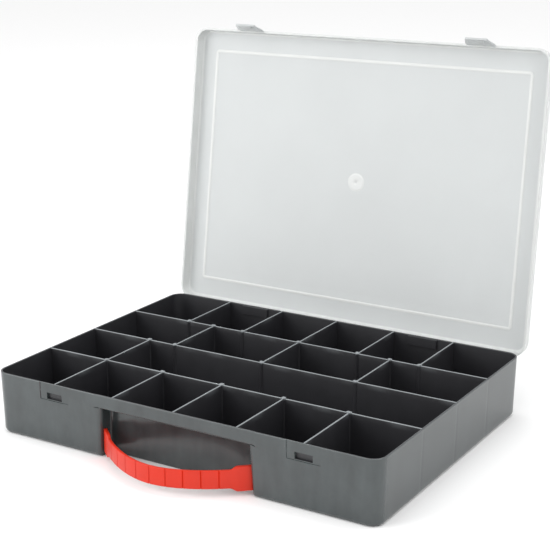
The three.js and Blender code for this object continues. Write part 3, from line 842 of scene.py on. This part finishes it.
def bow_frames(lengths):
    """Points on the bow at those lengths from its middle, and the unit normals that point
    forward: the slope between two close points, turned by a quarter."""
    x, walked = walk_bow()
    px = np.interp(np.abs(lengths), walked, x) * np.sign(lengths)
    slope = (bow(px + 0.01) - bow(px - 0.01)) / 0.02
    size = np.hypot(1, slope)
    return np.stack([px, bow(px)], -1), np.stack([slope / size, -1 / size], -1)


def handle_skin(sizes):
    """The handle: a rounded rectangular section carried along the bow. Half thickness and half
    height grow over a short ramp into the end blocks, and the front face dips by a V at each
    groove. A pivot pin, a rod with a rounded end, stands on each block."""
    thick, wide, block, block_thick, pitch, groove_w, groove_d = mm(
        sizes, "thickness", "width", "block", "block_thickness", "pitch", "groove_width", "groove_depth"
    )
    count = sizes.grooves
    xs, walked = walk_bow()
    total = walked[-1]
    centres = (np.arange(count) - (count - 1) / 2) * pitch
    near = np.array([-0.75, -0.5, -0.25, 0, 0.25, 0.5, 0.75]) * groove_w
    apart = np.array([-pitch / 2, -pitch / 4, pitch / 4])
    stations = (centres[:, None] + np.concatenate([near, apart])).ravel()
    ramp_x = np.array([58.0, 58.7, 59.6, 60.6, 61.6, 62.4, 63.2, 66, 68.8])
    ramp = np.interp(ramp_x, xs, walked)
    tip = total - np.array([1.1, 0.7, 0.35, 0.12, 0.0])
    stations = np.unique(np.round(np.concatenate([stations, ramp, -ramp, tip, -tip]), 4))
    stations = stations[np.abs(stations) <= total + 1e-6]
    points, normals = bow_frames(stations)
    grow = np.clip((np.abs(points[:, 0]) - BLOCK_START) / (BLOCK_FULL - BLOCK_START), 0, 1)
    grow = grow * grow * (3 - 2 * grow)
    left = total - np.abs(stations)
    ease = STRAP_END_ROUND
    end = np.where(left < ease, ease - np.sqrt(np.clip(ease**2 - (ease - left) ** 2, 0, None)), 0)
    half_t = (thick + (block_thick - thick) * grow) / 2 - end
    half_h = (wide + (block - wide) * grow) / 2 - end
    dip = np.clip(1 - np.abs(stations[:, None] - centres) / (groove_w / 2), 0, 1).max(1) * groove_d
    r = STRAP_EDGE
    a = quarter(4)
    # one corner's arc, then its three turns, as parts of (across, up) beyond the flat
    arc = np.stack([r * np.cos(a), r * np.sin(a)], -1)
    ring_t, ring_h = [], []
    for s_t, s_h, turn in ((1, -1, 3), (1, 1, 0), (-1, 1, 1), (-1, -1, 2)):
        c, s = [(1, 0), (0, 1), (-1, 0), (0, -1)][turn]
        bent = np.stack([arc[:, 0] * c - arc[:, 1] * s, arc[:, 0] * s + arc[:, 1] * c], -1)
        ring_t.append((half_t[:, None] - r) * s_t + bent[:, 0])
        ring_h.append((half_h[:, None] - r) * s_h + bent[:, 1])
    t = np.concatenate(ring_t, 1)
    h = np.concatenate(ring_h, 1)
    front = np.clip((t / half_t[:, None] + 0.2) / 1.0, 0, 1)
    t = t - dip[:, None] * front
    rings = np.stack([
        points[:, None, 0] + normals[:, None, 0] * t,
        points[:, None, 1] + normals[:, None, 1] * t,
        HANDLE_PIVOT[2] + h,
    ], -1)
    strap = ring_mesh(rings[::-1])
    rod = circle(HANDLE_PIVOT[1:], PIVOT_RADIUS)
    right_pin = bar_along_x(rod, PIVOT_START, PIVOT_END, 0.4)
    left_pin = bar_along_x(rod, -PIVOT_END, -PIVOT_START, 0.4)
    return stacked([strap, right_pin, left_pin])


# ---- finishes ---------------------------------------------------------------


def add(tree, kind, links=(), **settings):
    """Adds a node: settings name its properties, or its inputs by name with underscores for
    spaces, and links pair an input with the output that feeds it."""
    node = tree.nodes.new(kind)
    for key, value in settings.items():
        if hasattr(node, key):
            setattr(node, key, value)
        else:
            node.inputs[key.replace("_", " ")].default_value = value
    for name, output in links:
        tree.links.new(output, node.inputs[name])
    return node


def new_finish(name):
    """An empty material with an output node."""
    material = bpy.data.materials.new(name)
    material.use_nodes = True
    material.node_tree.nodes.clear()
    return material, material.node_tree


def shade(value, factor):
    """A colour made lighter or darker by a factor, with alpha 1."""
    return (*[min(c * factor, 1.0) for c in value], 1.0)


def tray_finish(name, value, finishes, rough, mottle):
    """Injection-moulded grey polypropylene: satin outside, duller inside, paler at a painted highlight on
    rims and upper edges.
    """
    material, tree = new_finish(name)
    place = add(tree, "ShaderNodeTexCoord").outputs["Object"]
    # Flow clouds about 25 mm across, which give the eye a moulded part's uneven depth of colour.
    clouds = add(tree, "ShaderNodeTexNoise", [("Vector", place)], Scale=40.0, Detail=6.0, Roughness=0.62)
    # Upright flow streaks 11 mm wide and 40 mm tall, faint, from the melt running up the walls.
    tall = add(tree, "ShaderNodeMapping", [("Vector", place)], Scale=(90.0, 90.0, 25.0))
    streaks = add(tree, "ShaderNodeTexNoise", [("Vector", tall.outputs[0])], Scale=1.0, Detail=2.0)
    # Spark-eroded grain: really about 0.1 mm, drawn at 0.7 mm so that it shows.
    grain = add(tree, "ShaderNodeTexNoise", [("Vector", place)], Scale=1400.0, Detail=2.0)
    both = add(tree, "ShaderNodeMath", [(0, clouds.outputs[0]), (1, streaks.outputs[0])], operation="ADD")
    ramp = add(tree, "ShaderNodeMapRange", [("Value", both.outputs[0])], From_Min=0.7, From_Max=1.3)
    tone = add(tree, "ShaderNodeMix", [(0, ramp.outputs[0])], data_type="RGBA")
    tone.inputs[6].default_value = shade(value, 1 - mottle)
    tone.inputs[7].default_value = shade(value, 1 + mottle)
    # Paler colour where the mark attribute is set: a painted highlight on rims and upper edges.
    edge_highlight = add(tree, "ShaderNodeAttribute", attribute_name="rubbed")
    edge = add(tree, "ShaderNodeMix", [(0, edge_highlight.outputs["Fac"]), (6, tone.outputs[2])], data_type="RGBA")
    edge.inputs[7].default_value = shade(finishes.rubbed, 1)
    gloss = add(
        tree, "ShaderNodeMapRange", [("Value", clouds.outputs[0])], To_Min=rough - 0.06, To_Max=rough + 0.08
    )
    relief = add(tree, "ShaderNodeMath", [(0, streaks.outputs[0])], operation="MULTIPLY")
    relief.inputs[1].default_value = 0.6
    height = add(tree, "ShaderNodeMath", [(0, relief.outputs[0]), (1, grain.outputs[0])], operation="ADD")
    bump = add(tree, "ShaderNodeBump", [("Height", height.outputs[0])], Strength=0.12, Distance=0.0004)
    skin = add(
        tree, "ShaderNodeBsdfPrincipled",
        [("Base Color", edge.outputs[2]), ("Roughness", gloss.outputs[0]), ("Normal", bump.outputs[0])],
        IOR=1.49, Specular_IOR_Level=0.75,
    )
    add(tree, "ShaderNodeOutputMaterial", [("Surface", skin.outputs[0])])
    return material


def lid_finish(finishes):
    """Frosted natural polypropylene, clear enough to glow against a light ground."""
    material, tree = new_finish("frosted natural polypropylene")
    place = add(tree, "ShaderNodeTexCoord").outputs["Object"]
    # Milky clouds 60 mm across from the melt's cooling, and flow lines 12 mm apart along the panel.
    clouds = add(tree, "ShaderNodeTexNoise", [("Vector", place)], Scale=16.0, Detail=2.0)
    long = add(tree, "ShaderNodeMapping", [("Vector", place)], Scale=(12.0, 80.0, 80.0))
    flow = add(tree, "ShaderNodeTexNoise", [("Vector", long.outputs[0])], Scale=1.0, Detail=2.0)
    # Etched frosting: really about 0.05 mm, drawn at 0.9 mm so that it shows.
    frost = add(tree, "ShaderNodeTexNoise", [("Vector", place)], Scale=1100.0, Detail=1.0)
    tone = add(tree, "ShaderNodeMix", [(0, clouds.outputs[0])], data_type="RGBA")
    tone.inputs[6].default_value = shade(finishes.lid, 0.96)
    tone.inputs[7].default_value = shade(finishes.lid, 1.03)
    # Painted highlight on the ridge and the rim, and stress whitening round the gate, from the mesh's mark
    # attribute; marked places are paler and less clear.
    white = add(tree, "ShaderNodeAttribute", attribute_name="rubbed")
    pale = add(tree, "ShaderNodeMix", [(0, white.outputs["Fac"]), (6, tone.outputs[2])], data_type="RGBA")
    pale.inputs[7].default_value = (1.0, 1.0, 0.97, 1)
    clear = add(tree, "ShaderNodeMapRange", [("Value", white.outputs["Fac"])], To_Min=0.45, To_Max=0.1)
    gloss = add(tree, "ShaderNodeMapRange", [("Value", flow.outputs[0])], To_Min=0.34, To_Max=0.46)
    height = add(tree, "ShaderNodeMath", [(0, frost.outputs[0]), (1, flow.outputs[0])], operation="ADD")
    bump = add(tree, "ShaderNodeBump", [("Height", height.outputs[0])], Strength=0.1, Distance=0.0004)
    skin = add(
        tree, "ShaderNodeBsdfPrincipled",
        [
            ("Base Color", pale.outputs[2]), ("Roughness", gloss.outputs[0]), ("Normal", bump.outputs[0]),
            ("Transmission Weight", clear.outputs[0]),
        ],
        IOR=1.49,
    )
    add(tree, "ShaderNodeOutputMaterial", [("Surface", skin.outputs[0])])
    return material


def handle_finish(finishes):
    """Orange-red polypropylene with a satin moulded face."""
    material, tree = new_finish("satin orange-red polypropylene")
    place = add(tree, "ShaderNodeTexCoord").outputs["Object"]
    # Pigment swirl 15 mm across, and a grain really 0.1 mm, drawn at 0.8 mm so that it shows.
    swirl = add(tree, "ShaderNodeTexNoise", [("Vector", place)], Scale=66.0, Detail=2.0)
    grain = add(tree, "ShaderNodeTexNoise", [("Vector", place)], Scale=1250.0, Detail=2.0)
    tone = add(tree, "ShaderNodeMix", [(0, swirl.outputs[0])], data_type="RGBA")
    tone.inputs[6].default_value = shade(finishes.handle, 0.92)
    tone.inputs[7].default_value = shade(finishes.handle, 1.08)
    gloss = add(tree, "ShaderNodeMapRange", [("Value", swirl.outputs[0])], To_Min=0.34, To_Max=0.46)
    bump = add(tree, "ShaderNodeBump", [("Height", grain.outputs[0])], Strength=0.1, Distance=0.0003)
    skin = add(
        tree, "ShaderNodeBsdfPrincipled",
        [("Base Color", tone.outputs[2]), ("Roughness", gloss.outputs[0]), ("Normal", bump.outputs[0])],
        IOR=1.49, Specular_IOR_Level=0.38,
    )
    add(tree, "ShaderNodeOutputMaterial", [("Surface", skin.outputs[0])])
    return material


def floor_finish(finishes):
    """Matte white studio paper, with a tooth too fine to see but for a breath of unevenness."""
    material, tree = new_finish("matte studio paper")
    place = add(tree, "ShaderNodeTexCoord").outputs["Object"]
    tooth = add(tree, "ShaderNodeTexNoise", [("Vector", place)], Scale=900.0, Detail=2.0)
    bump = add(tree, "ShaderNodeBump", [("Height", tooth.outputs[0])], Strength=0.03, Distance=0.0002)
    skin = add(
        tree, "ShaderNodeBsdfPrincipled", [("Normal", bump.outputs[0])],
        Base_Color=shade(finishes.floor, 1), Roughness=0.9, Specular_IOR_Level=0.1,
    )
    add(tree, "ShaderNodeOutputMaterial", [("Surface", skin.outputs[0])])
    return material


def finish_named(name, maker):
    """The finish of that name, made once."""
    return bpy.data.materials.get(name) or maker()


def tray_outside_finish(finishes):
    """The outside: fairly smooth, with the melt's flow showing in its colour."""
    name = "moulded grey polypropylene, outside"
    rough, mottle = 0.16, 0.22
    return finish_named(name, lambda: tray_finish(name, finishes.tray_outside, finishes, rough, mottle))


def shaded_inside_finish(finishes):
    """The inside and the partitions, dull and even, in a darker copy of the plastic's colour: painted shade
    for the depth of the compartments.
    """
    name = "moulded grey polypropylene, inside"
    rough, mottle = 0.5, 0.12
    return finish_named(name, lambda: tray_finish(name, finishes.tray_inside_painted_shade, finishes, rough, mottle))


def frosted_finish(finishes):
    """The lid's finish, which the knuckles and tabs share."""
    return finish_named("frosted natural polypropylene", lambda: lid_finish(finishes))


# ---- operators --------------------------------------------------------------


class CASE_OT_tray(bpy.types.Operator):
    """Make the tray's shell with its recess, latch pockets and hinge pockets"""

    bl_idname = "case.tray"
    bl_label = "Tray shell"

    def execute(self, context):
        scene = context.scene
        skin, marks, index = tray_skin(scene.case_tray)
        finishes = [tray_outside_finish(scene.case_finishes), shaded_inside_finish(scene.case_finishes)]
        make_piece("tray_shell", skin, finishes, "tray", ["tray"], marks, index)
        return {"FINISHED"}


class CASE_OT_hinge_pins(bpy.types.Operator):
    """Make the cheeks and pins that the lid snaps on to"""

    bl_idname = "case.hinge_pins"
    bl_label = "Hinge cheeks and pins"

    def execute(self, context):
        finish = tray_outside_finish(context.scene.case_finishes)
        make_piece("hinge_cheeks_and_pins", hinge_pins_skin(), [finish], "tray")
        return {"FINISHED"}


class CASE_OT_partitions(bpy.types.Operator):
    """Make the long partitions with their posts, and the dividers between them"""

    bl_idname = "case.partitions"
    bl_label = "Partitions"

    def execute(self, context):
        scene = context.scene
        tray, sizes = scene.case_tray, scene.case_partitions
        finish = shaded_inside_finish(scene.case_finishes)
        floor, wall, top, depth = mm(tray, "floor", "wall", "recess_top", "recess_depth")
        section = partition_section(sizes, floor)

        def side_end(z):
            """x at which a long partition ends in the side wall, at each height."""
            return HALF_X - draft_at(z, tray) - wall + SUNK

        def rear_end(z):
            """y at which a divider ends in the rear wall."""
            return HALF_Y - draft_at(z, tray) - wall + SUNK

        def recess_end(z):
            """y at which a divider ends in the recess's back, and over it in the front wall."""
            share = np.clip(1 - z / top, 0, 1)
            shelf = top + 1.2
            return np.where(z < shelf, -HALF_Y + depth + share + wall - SUNK, -rear_end(z))

        def latch_end(z):
            """y at which a divider behind a latch ends, in the boss or in the front wall."""
            in_boss = (z > BOSS_BOTTOM + 0.1) & (z < BOSS_TOP - 0.2)
            return np.where(in_boss, -HALF_Y + wall + BOSS_DEPTH - 0.3, -rear_end(z))

        def at(value):
            """The same place at every height."""
            return lambda z: np.full(len(z), float(value))

        crossings = {name: set() for name in LONG_WALLS}
        for node in DIVIDERS:
            x = middle_of(node, 0)
            row = ["front", "second", "third", "rear"].index(node.split("_")[1])
            for k in (row - 1, row):
                if 0 <= k < 3:
                    crossings[LONG_WALLS[k]].add(round(x, 2))
            if row == 0:
                start = recess_end if abs(x) < LATCH_X - BOSS_HALF else latch_end
            else:
                start = at(ROW_Y[row - 1])
            end = rear_end if row == 3 else at(ROW_Y[row])
            skin = partition_skin(section, start, end, x, "y", 16, x)
            self.finish_wall(node, skin, finish)
        for k, node in enumerate(LONG_WALLS):
            y = ROW_Y[k]
            wall_skin = partition_skin(section, lambda z: -side_end(z), side_end, y, "x", 90, k + 1.0)
            posts = [post_skin(x, y, sizes, floor, x + 3 * k) for x in sorted(crossings[node])]
            self.finish_wall(node, stacked([wall_skin] + posts), finish)
        return {"FINISHED"}

    def finish_wall(self, node, skin, finish):
        """Marks the upper edge with a painted highlight and makes the piece."""
        marks = np.clip((skin[0][:, 2] - (TRAY_TOP - 0.5)) / 0.35, 0, 1)
        make_piece(node + "_wall", skin, [finish], "tray", [node], marks)


class CASE_OT_lid(bpy.types.Operator):
    """Make the frosted lid, open on its hinge, with its knuckles"""

    bl_idname = "case.lid"
    bl_label = "Lid"

    def execute(self, context):
        scene = context.scene
        finish = frosted_finish(scene.case_finishes)
        (points, faces), marks = lid_skin(scene.case_lid)
        make_piece("lid_panel_and_rim", (swing(points), faces), [finish], "lid", ["lid"], marks)
        points, faces = knuckle_skin()
        make_piece("lid_hinge_knuckles", (swing(points), faces), [finish], "lid")
        return {"FINISHED"}


class CASE_OT_tabs(bpy.types.Operator):
    """Make the two snap tabs on the lid's free edge"""

    bl_idname = "case.tabs"
    bl_label = "Snap tabs"

    def execute(self, context):
        scene = context.scene
        finish = frosted_finish(scene.case_finishes)
        points, faces = tab_skin(scene.case_lid)
        t = math.radians(TAB_FLARE)
        for side, name in ((-1, "latch_left"), (1, "latch_right")):
            y, z = points[:, 1], points[:, 2]
            shut = np.stack([
                points[:, 0] + side * LATCH_X,
                LATCH_AXIS[0] + y * math.cos(t) + z * math.sin(t),
                LATCH_AXIS[1] - y * math.sin(t) + z * math.cos(t),
            ], -1)
            make_piece(name + "_tab", (swing(shut), faces), [finish], name, [name])
        return {"FINISHED"}


class CASE_OT_handle(bpy.types.Operator):
    """Make the bowed strap handle with its end blocks and pins"""

    bl_idname = "case.handle"
    bl_label = "Strap handle"

    def execute(self, context):
        scene = context.scene
        name = "satin orange-red polypropylene"
        finish = finish_named(name, lambda: handle_finish(scene.case_finishes))
        skin = handle_skin(scene.case_handle)
        make_piece("strap_handle", skin, [finish], "handle", ["handle"], angle=30)
        return {"FINISHED"}


class CASE_OT_stage(bpy.types.Operator):
    """Set out the pale floor, the soft lights and the camera"""

    bl_idname = "case.stage"
    bl_label = "Stage"

    def execute(self, context):
        scene = context.scene
        mesh = bpy.data.meshes.new("floor")
        half = 14.0
        corners = [(-half, -half, 0), (half, -half, 0), (half, half, 0), (-half, half, 0)]
        mesh.from_pydata(corners, [], [(0, 1, 2, 3)])
        mesh.materials.append(floor_finish(scene.case_finishes))
        floor = bpy.data.objects.new("floor", mesh)
        scene.collection.objects.link(floor)
        world = bpy.data.worlds.new("soft studio")
        world.use_nodes = True
        glow = world.node_tree.nodes["Background"]
        glow.inputs["Color"].default_value = (1.0, 1.0, 1.0, 1)
        glow.inputs["Strength"].default_value = 0.95
        scene.world = world
        self.softbox("key", (-1.15, -1.35, 1.25), (0, 0, 0.1), 1.3, 13)
        self.softbox("fill", (1.9, -0.6, 1.2), (0, 0, 0.1), 1.4, 9)
        self.softbox("top", (0.1, 0.2, 2.4), (0, 0, 0), 1.8, 16)
        self.softbox("sheen", (-0.955, -1.086, 0.443), (-0.12, 0.16, 0.27), 0.8, 3.4)
        self.camera(scene)
        scene.view_settings.view_transform = "Standard"
        return {"FINISHED"}

    def softbox(self, name, place, aim, size, power):
        """A square soft light at a place, turned to its aim."""
        light = bpy.data.lights.new(name, "AREA")
        light.shape, light.size, light.energy = "SQUARE", size, power
        lamp = bpy.data.objects.new(name, light)
        lamp.location = place
        lamp.rotation_mode = "QUATERNION"
        lamp.rotation_quaternion = (Vector(aim) - Vector(place)).to_track_quat("-Z", "Y")
        bpy.context.scene.collection.objects.link(lamp)

    def camera(self, scene):
        """The camera: right, up and back directions from azimuth, elevation and a small roll."""
        az, el, roll = (math.radians(a) for a in CAMERA_TURN)
        back = Vector((math.sin(az) * math.cos(el), -math.cos(az) * math.cos(el), math.sin(el)))
        right = Vector((0, 0, 1)).cross(back).normalized()
        up = back.cross(right)
        turned_right = right * math.cos(roll) + up * math.sin(roll)
        turned_up = up * math.cos(roll) - right * math.sin(roll)
        lens = bpy.data.cameras.new("camera")
        lens.lens, lens.sensor_width = CAMERA_LENS, 36.0
        lens.shift_x, lens.shift_y = CAMERA_SHIFT
        lens.clip_start, lens.clip_end = 0.05, 60
        camera = bpy.data.objects.new("camera", lens)
        turn = Matrix((turned_right, turned_up, back)).transposed().to_4x4()
        camera.matrix_world = Matrix.Translation(CAMERA_PLACE) @ turn
        scene.collection.objects.link(camera)
        scene.camera = camera


class CASE_PT_pieces(bpy.types.Panel):
    """Lists the operators that build the case"""

    bl_label = "Compartment case"
    bl_idname = "CASE_PT_pieces"
    bl_space_type = "VIEW_3D"
    bl_region_type = "UI"
    bl_category = "Case"

    def draw(self, context):
        for operator in OPERATORS:
            self.layout.operator(operator.bl_idname)


OPERATORS = [
    CASE_OT_tray, CASE_OT_hinge_pins, CASE_OT_partitions, CASE_OT_lid, CASE_OT_tabs, CASE_OT_handle,
    CASE_OT_stage,
]
CLASSES = [*GROUPS.values(), *OPERATORS, CASE_PT_pieces]


def register():
    """Registers every class and hangs the property groups on the scene."""
    for cls in CLASSES:
        bpy.utils.register_class(cls)
    for name, group in GROUPS.items():
        setattr(bpy.types.Scene, name, PointerProperty(type=group))


def unregister():
    """Undoes register, in the opposite order."""
    for name in GROUPS:
        delattr(bpy.types.Scene, name)
    for cls in reversed(CLASSES):
        bpy.utils.unregister_class(cls)


def main():
    """Builds everything in order."""
    register()
    for operator in OPERATORS:
        space, name = operator.bl_idname.split(".")
        getattr(getattr(bpy.ops, space), name)()


if __name__ == "__main__":
    main()
